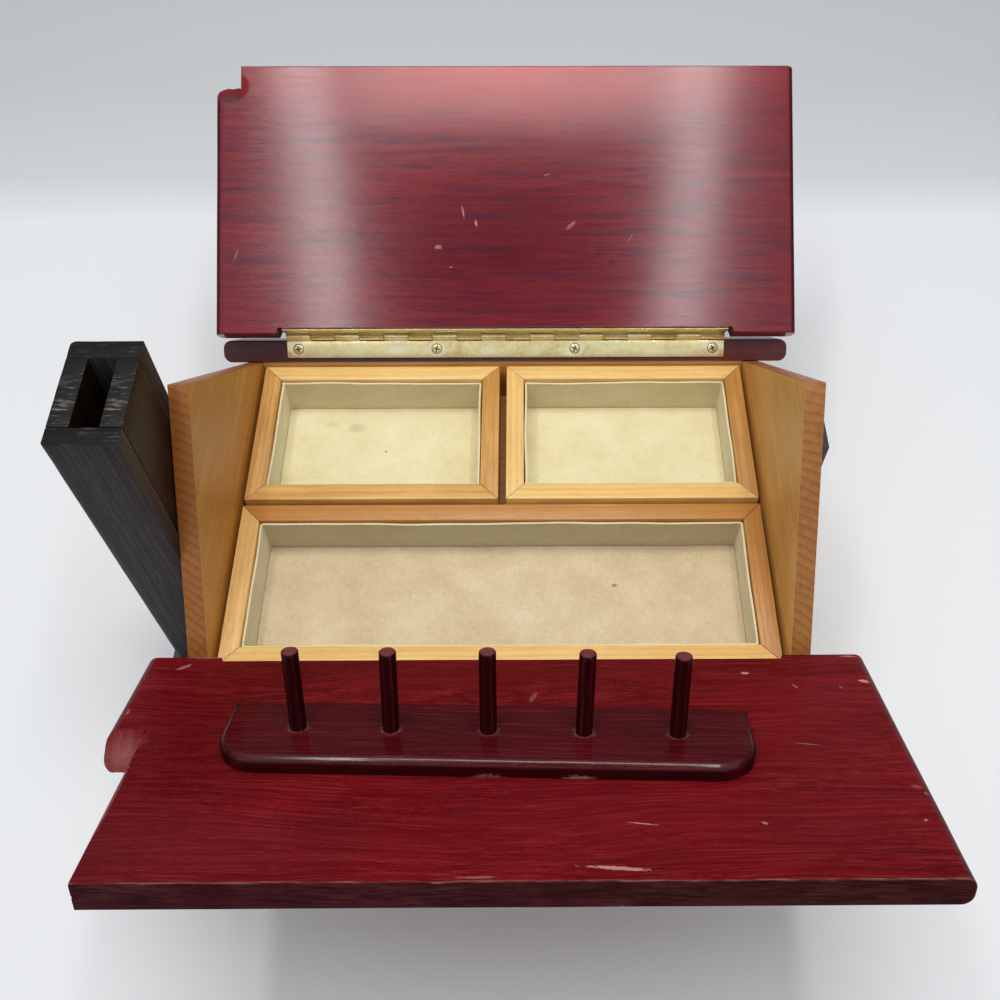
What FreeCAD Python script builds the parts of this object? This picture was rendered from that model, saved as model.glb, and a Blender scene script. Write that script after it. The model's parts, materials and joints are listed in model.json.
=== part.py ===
"""A house-shaped sewing box: a gabled wooden box with two hinged roof panels, loose trays,
two drawers, a spool rack inside the front roof panel and a hollow chimney for scissors.

Millimetres. +X to the right, +Y to the back, +Z up. The origin is on the underside of the
base board, below the middle of the ridge. The roof stands open on its hinges' stops.
"""
import FreeCAD
import Part
import Sketcher
import math
import os
import re
from FreeCAD import Placement, Rotation, Vector

# Driving dimensions, in millimetres and degrees.
sizes = {
    # house
    "gable_half": 140.0,       # middle to the outer face of each gable
    "board_thick": 9.0,        # gables, walls, chimney and drawer fronts
    "wall_inside": 92.5,       # middle to the inner face of the front and back walls
    "ridge_height": 189.0,     # tip of the gables
    "tray_level": 95.0,        # top of the trays' rims
    "shelf_thick": 6.0,
    "base_thick": 10.0,
    "base_left": 181.0,
    "base_right": 152.0,
    "base_deep": 116.0,
    "base_chamfer": 1.5,
    # roof: the slopes are at 45 degrees and meet at a right angle
    "roof_shift": 2.8,         # the hinge pins' middle sits this far right of the gables' middle
    "front_left": 154.5,       # ends of the front panel, back panel and strips from there
    "front_right": 155.5,
    "back_left": 154.9,
    "back_right": 153.2,
    "strip_left": 155.0,
    "strip_right": 152.1,
    "roof_thick": 12.0,
    "roof_clear": 0.15,        # air between a closed panel and the gables
    "edge_round": 4.5,         # rounded ends of the roof boards
    "arris_round": 0.8,
    "slope_run": 131.4,        # ridge to the hinged edge of the eave strip, down the slope
    "strip_wide": 26.0,
    "strip_gap": 0.5,          # joint between a strip and its closed panel
    "front_long": 130.5,
    "back_long": 143.4,        # longer by the thickness, to cover the front panel's end
    "notch_wide_front": 15.5,  # cut out of the left side of each panel for the chimney
    "notch_wide_back": 13.7,
    "notch_front": 50.1,       # hinged edge to the notch, on the inner face
    "notch_back": 124.5,
    "open_angle": 104.0,
    # piano hinges
    "hinge_long": 237.3,
    "hinge_shift": -1.3,       # middle of the hinge from the middle of the panel
    "barrel_radius": 1.85,
    "pin_radius": 0.8,
    "pin_play": 0.05,
    "pin_rise": 1.95,          # pin above the roof's outer face
    "pin_inset": 1.85,         # pin from the strip's hinged edge
    "recess_deep": 2.05,       # pin to the floor of the panel's hinge recess
    "recess_long": 240.0,
    "leaf_thick": 0.9,
    "leaf_reach": 11.4,        # pin to the free edge of a leaf
    "knuckle_gap": 0.3,
    "screw_gap": 75.0,
    "screw_drop": 6.7,         # pin to the line of screws
    "screw_head": 2.6,
    "screw_core": 1.1,
    "screw_long": 12.0,
    "slot_long": 3.4,
    "slot_wide": 0.6,
    "slot_deep": 0.5,
    # spool rack
    "rack_long": 202.0,
    "rack_deep": 34.3,
    "rack_thick": 7.0,
    "rack_corner": 16.0,
    "rack_round": 3.5,
    "rack_shift": -6.1,        # middle of the rack from the middle of the panel
    "rack_reach": 61.25,        # pin to the middle of the rack
    "rack_turn": 2.1,          # the rack is glued on slightly askew
    "peg_radius": 3.25,
    "peg_tall": 35.2,
    "peg_tenon": 2.5,          # radius of the tenon that is glued into the rack
    "peg_socket": 5.0,
    "peg_gap": 35.9,
    "peg_shift": 0.2,
    "peg_offset": -1.55,
    "peg_chamfer": 0.6,
    # chimney and gable vent
    "chimney_wide": 29.3,
    "chimney_front": 54.4,
    "chimney_deep": 52.4,
    "chimney_height": 218.5,
    "vent_half": 12.0,
    "vent_thick": 7.0,
    "vent_tall": 24.0,
    "vent_top": 158.5,
    "vent_chamfer": 1.2,
    # trays
    "tray_half": 129.25,
    "tray_deep": 87.0,
    "tray_front_edge": 86.5,   # middle to the front of the front tray
    "rear_start": 3.9,         # middle to the front of the rear trays
    "rear_gap": 3.9,           # between the two rear trays
    "tray_tall": 27.8,
    "rail_wide": 9.2,
    "rail_round": 0.5,
    "tray_bottom": 3.2,
    "lining_thick": 1.2,
    "lining_drop": 1.8,        # rim to the top of the lining
    # drawers
    "drawer_play": 0.6,
    "drawer_side": 6.0,
    "drawer_bottom": 3.0,
    "drawer_wall": 42.0,
    "drawer_back": 86.0,       # middle to the back of a closed drawer
    "knob_base": 4.5,
    "knob_foot": 1.5,
    "knob_neck": 3.2,
    "knob_head": 7.5,
    "knob_long": 13.0,
    "knob_shoulder": 7.0,
    "knob_round": 2.6,
    # how far a cutting tool runs past what it cuts
    "overcut": 1.0,
}
knuckles = 18
screws = 4
pegs = 5

doc = FreeCAD.newDocument("sewing_box")
sheet = doc.addObject("Spreadsheet::Sheet", "Dims")
for row, (alias, value) in enumerate(sizes.items(), start=1):
    sheet.set(f"A{row}", alias)
    sheet.set(f"B{row}", str(value))
    sheet.setAlias(f"B{row}", alias)
doc.recompute()

nodes = []


# --- small helpers ---------------------------------------------------------

def cells(text):
    """An expression with the sheet's name put before each of its aliases."""
    return re.sub(r"[a-z_]+", lambda word: "Dims." + word[0] if word[0] in sizes else word[0], text)


def bind(item, **expressions):
    for name, text in expressions.items():
        item.setExpression(name, cells(text))


def at(item, x="0", y="0", z="0"):
    for axis, text in zip("xyz", (x, y, z)):
        item.setExpression("Placement.Base." + axis, cells(text))
    return item


def keep(item, label):
    """Name a finished piece, so that it is written out."""
    item.Label = label
    nodes.append(item)
    return item


def box(name, length, width, height, x="0", y="0", z="0"):
    item = doc.addObject("Part::Box", name)
    bind(item, Length=length, Width=width, Height=height)
    return at(item, x, y, z)


def turned(item, axis, degrees):
    item.Placement = Placement(Vector(), Rotation(axis, degrees))
    return item


def cylinder(name, radius, height, x="0", y="0", z="0", axis=Vector(0, 0, 1), degrees=0):
    item = turned(doc.addObject("Part::Cylinder", name), axis, degrees)
    bind(item, Radius=radius, Height=height)
    return at(item, x, y, z)


def cone(name, low, high, height, x="0", y="0", z="0", axis=Vector(0, 0, 1), degrees=0):
    item = turned(doc.addObject("Part::Cone", name), axis, degrees)
    bind(item, Radius1=low, Radius2=high, Height=height)
    return at(item, x, y, z)


def fuse(name, items):
    item = doc.addObject("Part::MultiFuse", name)
    item.Shapes = items
    return item


def cut(name, base, tools):
    item = doc.addObject("Part::Cut", name)
    item.Base = base
    item.Tool = tools[0] if len(tools) == 1 else fuse(name + "_tools", tools)
    return item


def group(name, items):
    item = doc.addObject("Part::Compound", name)
    item.Links = items
    return item


def new_body(label):
    return keep(doc.addObject("PartDesign::Body", label), label)


def sketch_on(body, name, plane, lift="0"):
    """A sketch on one of the body's own planes, moved along that plane's normal."""
    sketch = body.newObject("Sketcher::SketchObject", f"{body.Name}_{name}")
    support = [f for f in body.Origin.OriginFeatures if f.Role == plane][0]
    sketch.AttachmentSupport = [(support, "")]
    sketch.MapMode = "FlatFace"
    sketch.setExpression("AttachmentOffset.Base.z", cells(lift))
    return sketch


def fix_point(sketch, geometry, point, x, y):
    """Dimension one point of the sketch from the sketch's origin."""
    for kind, text in (("DistanceX", x), ("DistanceY", y)):
        number = sketch.addConstraint(Sketcher.Constraint(kind, -1, 1, geometry, point, 1.0))
        sketch.setExpression(f"Constraints[{number}]", cells(text))


def outline(body, name, plane, points, lift="0"):
    """A closed outline of straight lines through the points."""
    sketch = sketch_on(body, name, plane, lift)
    count = len(points)
    ring = [2 * math.pi * (i - 0.5) / count - math.pi / 2 for i in range(count + 1)]
    rough = [Vector(10 * math.cos(a), 10 * math.sin(a), 0) for a in ring]
    for i in range(count):
        sketch.addGeometry(Part.LineSegment(rough[i], rough[i + 1]))
    for i in range(count):
        sketch.addConstraint(Sketcher.Constraint("Coincident", i, 2, (i + 1) % count, 1))
    for i, (x, y) in enumerate(points):
        fix_point(sketch, i, 1, x, y)
    return sketch


def rectangle(body, name, plane, x0, x1, y0, y1, lift="0"):
    return outline(body, name, plane, [(x0, y0), (x1, y0), (x1, y1), (x0, y1)], lift)


def circle(body, name, plane, radius, x, y, lift="0"):
    sketch = sketch_on(body, name, plane, lift)
    sketch.addGeometry(Part.Circle(Vector(5, 5, 0), Vector(0, 0, 1), 1.0))
    number = sketch.addConstraint(Sketcher.Constraint("Radius", 0, 1.0))
    sketch.setExpression(f"Constraints[{number}]", cells(radius))
    fix_point(sketch, 0, 3, x, y)
    return sketch


def pad(body, sketch, length, back=False, both=False):
    item = body.newObject("PartDesign::Pad", sketch.Name + "_pad")
    item.Profile = sketch
    item.Reversed = back
    item.SideType = "Symmetric" if both else "One side"
    bind(item, Length=length)
    doc.recompute()
    return item


def pocket(body, sketch, depth, back=False, both=False):
    """Cut a sketch out of the body, and make sure that it did cut."""
    before = body.Shape.Volume
    item = body.newObject("PartDesign::Pocket", sketch.Name + "_pocket")
    item.Profile = sketch
    item.Reversed = back
    item.SideType = "Symmetric" if both else "One side"
    bind(item, Length=depth)
    doc.recompute()
    if body.Shape.Volume > before - 0.1:
        raise RuntimeError(item.Name + " cuts nothing")
    return item


def row_of(body, feature, sketch, gap, count):
    item = body.newObject("PartDesign::LinearPattern", feature.Name + "_row")
    item.Originals = [feature]
    item.Direction = (sketch, ["H_Axis"])
    item.Occurrences = count
    bind(item, Length=f"{gap} * {count - 1}")
    body.Tip = item
    doc.recompute()
    return item


def edges_where(shape, wanted):
    return [f"Edge{i}" for i, edge in enumerate(shape.Edges, start=1) if wanted(edge.BoundBox)]


def soften(body, kind, name, wanted, size):
    """A fillet or chamfer on the edges whose bounding boxes are wanted."""
    base = body.Tip
    item = body.newObject("PartDesign::" + kind, f"{body.Name}_{name}")
    item.Base = (base, edges_where(base.Shape, wanted))
    bind(item, **{"Radius" if kind == "Fillet" else "Size": size})
    body.Tip = item
    doc.recompute()
    return item


def flat(length):
    return abs(length) < 1e-4


def near(value, target):
    return abs(value - target) < 1e-3


# --- the house -------------------------------------------------------------

wall_outside = "(wall_inside + board_thick)"
inside_half = "(gable_half - board_thick)"
shelf_under = "(tray_level - tray_tall - shelf_thick)"


def make_base():
    body = new_body("base_board")
    plan = rectangle(body, "plan", "XY_Plane", "-base_left", "base_right", "-base_deep", "base_deep")
    pad(body, plan, "base_thick")
    soften(body, "Chamfer", "edges", lambda b: near(b.ZMin, sizes["base_thick"]), "base_chamfer")


def make_gable(label, x):
    body = new_body(label)
    shoulder = f"ridge_height - {wall_outside}"
    points = [
        ("-" + wall_outside, "base_thick"), (wall_outside, "base_thick"),
        (wall_outside, shoulder), ("0", "ridge_height"), ("-" + wall_outside, shoulder),
    ]
    pad(body, outline(body, "face", "YZ_Plane", points, lift=x), "board_thick")


def make_wall(label, side, foot):
    """A wall between the gables, with its top edge on the slope of the roof."""
    body = new_body(label)
    inner, outer = f"{side} * wall_inside", f"{side} * {wall_outside}"
    points = [
        (inner, foot), (outer, foot),
        (outer, f"ridge_height - {wall_outside}"), (inner, "ridge_height - wall_inside"),
    ]
    section = outline(body, "section", "YZ_Plane", points)
    pad(body, section, f"2 * {inside_half}", both=True)


def make_floors():
    keep(box("shelf", f"2 * {inside_half}", "2 * wall_inside", "shelf_thick",
             "-" + inside_half, "-wall_inside", shelf_under), "shelf_board")
    keep(box("divider", "board_thick", "wall_inside * 2 + board_thick", f"{shelf_under} - base_thick",
             "-board_thick / 2", "-" + wall_outside, "base_thick"), "drawer_divider")


# --- the roof --------------------------------------------------------------
# Pieces on a slope are drawn about the hinge pin. X runs along the pin, +Y up the closed
# roof towards the ridge, and Z through the boards: inwards on the back slope (side 1) and
# outwards on the front one (side -1).

pin_y = "(slope_run - pin_inset + roof_thick + pin_rise) * sqrt(0.5)"
pin_z = "ridge_height - (slope_run - pin_inset - roof_thick - pin_rise) * sqrt(0.5)"
panel_start = "(strip_gap - pin_inset)"


def on_slope(item, side, moving):
    """Turn a piece drawn about the pin to its slope, and open it if it moves."""
    turned(item, Vector(1, 0, 0), 45)
    opened = "open_angle" if moving else "0"
    angle = f"135 - {opened}" if side > 0 else f"45 + {opened}"
    item.setExpression("Placement.Rotation.Angle", cells(angle))
    return at(item, "roof_shift", f"{side} * {pin_y}", pin_z)


def through(side, depth):
    """The height above or below the pin of a plane at this depth behind the pin."""
    return f"{side} * ({depth})"


def roof_board(body, side, board, start, length, thick, back):
    """The plain board, with its ends rounded and its arrises eased."""
    section = rectangle(body, "section", "XZ_Plane", f"-{board}_left", f"{board}_right",
                        through(side, "pin_rise"), through(side, f"pin_rise + {thick}"), lift=start)
    pad(body, section, length, back=back)
    soften(body, "Fillet", "ends", lambda b: flat(b.XLength) and flat(b.ZLength), "edge_round")
    low, high = body.Shape.BoundBox.YMin, body.Shape.BoundBox.YMax
    soften(body, "Fillet", "arrises",
           lambda b: near(b.YMin, b.YMax) and (near(b.YMin, low) or near(b.YMax, high)), "arris_round")


def screw_holes(body, side, face, back):
    """A row of pilot holes for the hinge screws, into the hinged edge."""
    first = circle(body, "pilot", "XZ_Plane", "screw_core", f"hinge_shift - screw_gap * {screws - 1} / 2",
                   through(side, "screw_drop"), lift=face)
    row_of(body, pocket(body, first, "screw_long", back=back), first, "screw_gap", screws)


def make_strip(label, side):
    body = new_body(label)
    roof_board(body, side, "strip", "pin_inset", "strip_wide", "roof_thick", back=False)
    screw_holes(body, side, "pin_inset", back=True)
    on_slope(body, side, moving=False)


def make_panel(label, side, board):
    body, length = new_body(label), f"{board}_long"
    roof_board(body, side, board, "-" + panel_start, length, "roof_thick - roof_clear", back=True)

    start = f"{panel_start} + notch_{board}"
    inner = through(side, "pin_rise + roof_thick + overcut")
    outer = through(side, "pin_rise - overcut")
    far = f"{panel_start} + {length} + overcut"
    points = [(f"{start} - overcut", inner), (far, inner), (far, outer),
              (f"{start} + roof_thick + overcut", outer)]
    bevel = outline(body, "notch", "YZ_Plane", points, lift=f"-{board}_left - overcut")
    pocket(body, bevel, f"notch_wide_{board} + overcut", back=True)

    recess = rectangle(body, "recess", "XY_Plane", "hinge_shift - recess_long / 2",
                       "hinge_shift + recess_long / 2", "-pin_inset - overcut", "recess_deep")
    pocket(body, recess, "2 * (pin_rise + roof_thick + overcut)", both=True)
    screw_holes(body, side, "-recess_deep", back=False)
    on_slope(body, side, moving=True)


# --- the hinges ------------------------------------------------------------

pitch = f"(hinge_long / {knuckles})"
hinge_start = "(hinge_shift - hinge_long / 2)"
along_x = {"axis": Vector(0, 1, 0), "degrees": 90}


def screw_x(number):
    return f"hinge_shift + screw_gap * ({number} - {(screws - 1) / 2})"


def leaf_faces(moving):
    """The leaf's face on the wood, its open face, and the turn that points a tool outwards."""
    if moving:
        return "recess_deep", "(recess_deep - leaf_thick)", 90
    return "-pin_inset", "(leaf_thick - pin_inset)", -90


def make_leaf(label, side, moving):
    wood, face, turn = leaf_faces(moving)
    low = face if moving else wood
    plate = box(label + "_plate", "hinge_long", "leaf_thick", "leaf_reach",
                hinge_start, low, "0" if side > 0 else "-leaf_reach")
    relief, own = [], []
    for i in range(knuckles):
        start = f"{hinge_start} + {pitch} * {i}"
        if (i % 2 == 1) == moving:
            own.append(cylinder(f"{label}_knuckle{i}", "barrel_radius", f"{pitch} - knuckle_gap",
                                start + " + knuckle_gap / 2", **along_x))
        else:
            relief.append(cylinder(f"{label}_relief{i}", "barrel_radius + knuckle_gap", pitch,
                                   start, **along_x))
    bare = cut(label + "_bare", plate, relief)
    tools = [cylinder(label + "_bore", "pin_radius + pin_play", "hinge_long + 2 * overcut",
                      hinge_start + " - overcut", **along_x)]
    for i in range(screws):
        tools.append(cone(f"{label}_sink{i}", "screw_core", "screw_head", "leaf_thick", screw_x(i), wood,
                          through(side, "screw_drop"), Vector(1, 0, 0), turn))
    leaf = keep(cut(label, fuse(label + "_rolled", [bare] + own), tools), label)
    on_slope(leaf, side, moving)


def make_screws(label, side, moving):
    """Countersunk screws with a cross in the head."""
    wood, face, turn = leaf_faces(moving)
    low = face if moving else f"{face} - slot_deep"
    drop = through(side, "screw_drop")
    made = []
    for i in range(screws):
        name, x = f"{label}{i}", screw_x(i)
        head = cone(name + "_head", "screw_core", "screw_head", "leaf_thick",
                    x, wood, drop, Vector(1, 0, 0), turn)
        shank = cylinder(name + "_shank", "screw_core", "screw_long",
                         x, wood, drop, Vector(1, 0, 0), -turn)
        slots = []
        for part, wide, tall in (("a", "slot_long", "slot_wide"), ("b", "slot_wide", "slot_long")):
            slots.append(box(name + "_slot" + part, wide, "slot_deep", tall,
                             f"{x} - {wide} / 2", low, f"{drop} - {tall} / 2"))
        made.append(cut(name, fuse(name + "_blank", [head, shank]), slots))
    on_slope(keep(group(label, made), label), side, moving)


def make_hinge(where, side):
    for part, moving in (("fixed", False), ("moving", True)):
        make_leaf(f"hinge_{where}_{part}_leaf", side, moving)
        make_screws(f"hinge_{where}_{part}_screws", side, moving)
    wire = cylinder(f"hinge_{where}_wire", "pin_radius", "hinge_long", hinge_start, **along_x)
    on_slope(keep(group(f"hinge_{where}_pin", [wire]), f"hinge_{where}_pin"), side, moving=False)


# --- the spool rack --------------------------------------------------------

def seat_rack(item):
    """Lay a piece drawn about the rack's middle on the inner face of the open front panel."""
    along = sizes["slope_run"] - sizes["pin_inset"]
    across = sizes["roof_thick"] + sizes["pin_rise"]
    pin = Vector(sizes["roof_shift"], -(along + across) * math.sqrt(0.5),
                 sizes["ridge_height"] - (along - across) * math.sqrt(0.5))
    panel = Placement(pin, Rotation(Vector(1, 0, 0), 45 + sizes["open_angle"]))
    face = sizes["roof_clear"] - across
    rack = Placement(Vector(sizes["rack_shift"], sizes["rack_reach"], face),
                     Rotation(Vector(0, 0, 1), sizes["rack_turn"]))
    item.Placement = panel.multiply(rack)


def make_rack():
    body = new_body("spool_rack")
    plan = rectangle(body, "plan", "XY_Plane", "-rack_long / 2", "rack_long / 2",
                     "-rack_deep / 2", "rack_deep / 2")
    pad(body, plan, "rack_thick", back=True)
    front, top = sizes["rack_deep"] / 2, -sizes["rack_thick"]
    soften(body, "Fillet", "corners", lambda b: near(b.YMin, front) and flat(b.XLength), "rack_corner")
    soften(body, "Fillet", "brow", lambda b: near(b.ZMax, top) and not near(b.YMax, -front), "rack_round")
    socket = circle(body, "socket", "XY_Plane", "peg_tenon", f"peg_shift - peg_gap * {pegs - 1} / 2",
                    "peg_offset", lift="-rack_thick")
    row_of(body, pocket(body, socket, "peg_socket", back=True), socket, "peg_gap", pegs)
    seat_rack(body)

    made = []
    for i in range(pegs):
        x, y = f"peg_shift + peg_gap * ({i} - {(pegs - 1) / 2})", "peg_offset"
        over = {"axis": Vector(1, 0, 0), "degrees": 180}
        tenon = cylinder(f"peg{i}_tenon", "peg_tenon", "peg_socket", x, y, "peg_socket - rack_thick", **over)
        stem = cylinder(f"peg{i}_stem", "peg_radius", "peg_tall - peg_chamfer",
                        x, y, "-rack_thick", **over)
        tip = cone(f"peg{i}_tip", "peg_radius", "peg_radius - peg_chamfer", "peg_chamfer",
                   x, y, "peg_chamfer - rack_thick - peg_tall", **over)
        made.append(fuse(f"peg{i}", [tenon, stem, tip]))
    seat_rack(keep(group("spool_pegs", made), "spool_pegs"))


# --- chimney and gable vent ------------------------------------------------

def make_chimney():
    tall, left = "chimney_height - base_thick", "-gable_half - chimney_wide"
    for label, y in (("chimney_front", "-chimney_front"),
                     ("chimney_back", "chimney_deep - chimney_front - board_thick")):
        keep(box(label + "_board", "chimney_wide", "board_thick", tall, left, y, "base_thick"), label)
    for label, x in (("chimney_outer_side", left), ("chimney_inner_side", "-gable_half - board_thick")):
        keep(box(label + "_board", "board_thick", "chimney_deep - 2 * board_thick", tall,
                 x, "board_thick - chimney_front", "base_thick"), label)


def make_vent():
    body = new_body("gable_vent")
    face = rectangle(body, "face", "YZ_Plane", "-vent_half", "vent_half", "vent_top - vent_tall", "vent_top",
                     lift="gable_half")
    pad(body, face, "vent_thick")
    out = sizes["gable_half"] + sizes["vent_thick"]
    soften(body, "Chamfer", "rim", lambda b: near(b.XMin, out), "vent_chamfer")


# --- trays -----------------------------------------------------------------

def make_rail(label, length, turn, x, y, z):
    """A rail with mitred ends: its outer edge runs from x, y in the direction turned."""
    body = new_body(label)
    plan = outline(body, "plan", "XY_Plane", [
        ("0", "0"), (length, "0"), (f"{length} - rail_wide", "rail_wide"), ("rail_wide", "rail_wide")])
    pad(body, plan, "tray_tall")
    top = sizes["tray_tall"]
    soften(body, "Fillet", "rim", lambda b: near(b.ZMin, top) and flat(b.YLength), "rail_round")
    turned(body, Vector(0, 0, 1), turn)
    at(body, x, y, z)


def make_tray(name, x, y, width):
    """A tray with its front left corner at x, y."""
    floor = "tray_level - tray_tall"
    right, back = f"{x} + {width}", f"{y} + tray_deep"
    make_rail(name + "_front_rail", width, 0, x, y, floor)
    make_rail(name + "_right_rail", "tray_deep", 90, right, y, floor)
    make_rail(name + "_back_rail", width, 180, right, back, floor)
    make_rail(name + "_left_rail", "tray_deep", -90, x, back, floor)
    in_x, in_y = f"{x} + rail_wide", f"{y} + rail_wide"
    long_side, short_side = f"({width} - 2 * rail_wide)", "(tray_deep - 2 * rail_wide)"
    keep(box(name + "_board", long_side, short_side, "tray_bottom", in_x, in_y, floor), name + "_bottom")
    outer = box(name + "_felt", long_side, short_side, "tray_tall - tray_bottom - lining_drop",
                in_x, in_y, floor + " + tray_bottom")
    hollow = box(name + "_hollow", f"{long_side} - 2 * lining_thick", f"{short_side} - 2 * lining_thick",
                 "tray_tall", in_x + " + lining_thick", in_y + " + lining_thick",
                 floor + " + tray_bottom + lining_thick")
    keep(cut(name + "_lining", outer, [hollow]), name + "_lining")


# --- drawers ---------------------------------------------------------------

def make_knob(label, x):
    body = new_body(label)
    half = outline(body, "half", "XZ_Plane", [
        ("0", "0"), ("knob_base", "0"), ("knob_base", "knob_foot"), ("knob_neck", "knob_foot"),
        ("knob_neck", "knob_shoulder"), ("knob_head", "knob_shoulder"), ("knob_head", "knob_long"),
        ("0", "knob_long")])
    turning = body.newObject("PartDesign::Revolution", label + "_turning")
    turning.Profile = half
    turning.ReferenceAxis = (half, ["V_Axis"])
    turning.Angle = 360
    doc.recompute()
    head = 2 * sizes["knob_head"]
    soften(body, "Fillet", "head", lambda b: flat(b.ZLength) and near(b.XLength, head), "knob_round")
    turned(body, Vector(1, 0, 0), 90)
    at(body, x, "-" + wall_outside, f"(base_thick + {shelf_under}) / 2")


def make_drawer(name, x):
    """A drawer with its left end at x, standing just clear of the base."""
    wide = "(gable_half - board_thick * 1.5 - 2 * drawer_play)"
    foot = "(base_thick + drawer_play / 2)"
    front = "-" + wall_outside
    deep = "(drawer_back + wall_inside)"
    keep(box(name + "_face", wide, "board_thick", f"{shelf_under} - base_thick - 1.5 * drawer_play",
             x, front, foot), name + "_front")
    for part, shift in (("left_side", "0"), ("right_side", f"{wide} - drawer_side")):
        keep(box(f"{name}_{part}_board", "drawer_side", deep, "drawer_wall",
                 f"{x} + {shift}", "-wall_inside", foot), f"{name}_{part}")
    between = f"{wide} - 2 * drawer_side"
    keep(box(name + "_end", between, "drawer_side", "drawer_wall",
             x + " + drawer_side", "drawer_back - drawer_side", foot), name + "_back")
    keep(box(name + "_tray", between, f"{deep} - drawer_side", "drawer_bottom",
             x + " + drawer_side", "-wall_inside", foot), name + "_bottom")
    make_knob(name + "_knob", f"{x} + {wide} / 2")


# --- build -----------------------------------------------------------------

make_base()
make_gable("gable_left", "-gable_half")
make_gable("gable_right", inside_half)
make_wall("back_wall", 1, "base_thick")
make_wall("front_rail", -1, shelf_under)
make_floors()
make_strip("eave_strip_front", -1)
make_strip("eave_strip_back", 1)
make_panel("roof_panel_front", -1, "front")
make_panel("roof_panel_back", 1, "back")
make_hinge("front", -1)
make_hinge("back", 1)
make_rack()
make_chimney()
make_vent()
make_tray("tray_front", "-tray_half", "-tray_front_edge", "(2 * tray_half)")
make_tray("tray_rear_left", "-tray_half", "rear_start", "(tray_half - rear_gap / 2)")
make_tray("tray_rear_right", "rear_gap / 2", "rear_start", "(tray_half - rear_gap / 2)")
make_drawer("drawer_left", f"drawer_play - {inside_half}")
make_drawer("drawer_right", "board_thick / 2 + drawer_play")
doc.recompute()

for item in doc.Objects:
    if {"Invalid", "Error"} & set(item.State):
        raise RuntimeError(f"{item.Name} failed: {item.State}")
for item in nodes:
    if item.Shape.isNull() or not item.Shape.isValid():
        raise RuntimeError(item.Label + " has no valid shape")

os.makedirs("parts", exist_ok=True)
for item in nodes:
    item.Shape.exportStep(f"parts/{item.Label}.step")
    bounds = item.Shape.BoundBox
    print(f"{item.Label}: {bounds.XMin:.1f}..{bounds.XMax:.1f}, {bounds.YMin:.1f}..{bounds.YMax:.1f}, "
          f"{bounds.ZMin:.1f}..{bounds.ZMax:.1f}, {len(item.Shape.Solids)} solids")
print(len(nodes), "nodes")
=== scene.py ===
import bpy
import json
import math
import random
from mathutils import Matrix, Vector

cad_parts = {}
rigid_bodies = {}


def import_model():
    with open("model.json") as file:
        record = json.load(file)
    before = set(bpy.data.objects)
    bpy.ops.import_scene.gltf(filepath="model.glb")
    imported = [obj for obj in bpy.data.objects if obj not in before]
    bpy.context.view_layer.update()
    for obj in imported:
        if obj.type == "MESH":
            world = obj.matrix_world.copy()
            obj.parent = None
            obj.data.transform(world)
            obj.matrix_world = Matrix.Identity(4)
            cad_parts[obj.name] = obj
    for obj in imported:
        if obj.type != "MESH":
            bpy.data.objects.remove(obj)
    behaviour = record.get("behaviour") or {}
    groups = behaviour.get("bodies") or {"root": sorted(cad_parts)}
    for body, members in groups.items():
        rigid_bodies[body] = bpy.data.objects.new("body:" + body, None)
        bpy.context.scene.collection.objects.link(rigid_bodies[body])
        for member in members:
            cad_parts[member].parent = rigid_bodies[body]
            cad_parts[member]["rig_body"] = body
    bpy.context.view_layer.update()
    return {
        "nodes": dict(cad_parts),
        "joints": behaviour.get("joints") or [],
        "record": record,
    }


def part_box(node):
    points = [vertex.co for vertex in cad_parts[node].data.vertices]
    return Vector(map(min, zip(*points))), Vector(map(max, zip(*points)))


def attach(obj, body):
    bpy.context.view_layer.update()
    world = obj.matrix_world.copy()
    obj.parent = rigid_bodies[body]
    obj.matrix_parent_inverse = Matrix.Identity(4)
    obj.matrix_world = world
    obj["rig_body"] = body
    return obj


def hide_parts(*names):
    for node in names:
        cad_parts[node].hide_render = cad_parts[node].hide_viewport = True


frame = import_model()
nodes = frame["nodes"]
slotOf = {part["node"]: part["material_slot"] for part in frame["record"]["subparts"]}
print("frame loaded:", len(nodes), "nodes")

# pieces are modelled in millimetres and shrunk to metres when they are settled
mm = 0.001
smoothTo = 35
toMetres = Matrix.Scale(mm, 4)
pinAt = {joint["child"]: joint["pos_m"] for joint in frame["joints"] if joint["type"] == "hinge"}
roof = {"slope": 45, "openAngle": 104, "middle": 2.8, "rise": 1.95, "thick": 11.85, "start": -1.35,
        "edgeRound": 4.5, "arris": 0.8, "gap": 14, "wear": (0.22, 38)}


def turned(degrees, axis):
    return Matrix.Rotation(math.radians(degrees), 4, axis)


def nameOf(node):
    first, *others = node.split("_")
    return first + "".join(word.title() for word in others)


def slopeFrame(side, moving):
    # about the hinge pin: x along the pin, y away from the other board, z through the board
    turn = roof["slope"] if side < 0 else 180 - roof["slope"]
    if moving:
        turn -= side * roof["openAngle"]
    pin = pinAt["roof_back" if side > 0 else "roof_front"]
    spot = Matrix.Translation((roof["middle"] * mm, pin[1], pin[2]))
    return spot @ turned(turn, "X") @ toMetres


# selecting and shaping, as by hand


def editOff():
    bpy.ops.object.mode_set(mode="OBJECT")


def clearSelection():
    if bpy.context.object and bpy.context.object.mode != "OBJECT":
        editOff()
    bpy.ops.object.select_all(action="DESELECT")


def pick(piece, *others):
    clearSelection()
    for item in (piece, *others):
        item.select_set(True)
    bpy.context.view_layer.objects.active = piece


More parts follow.
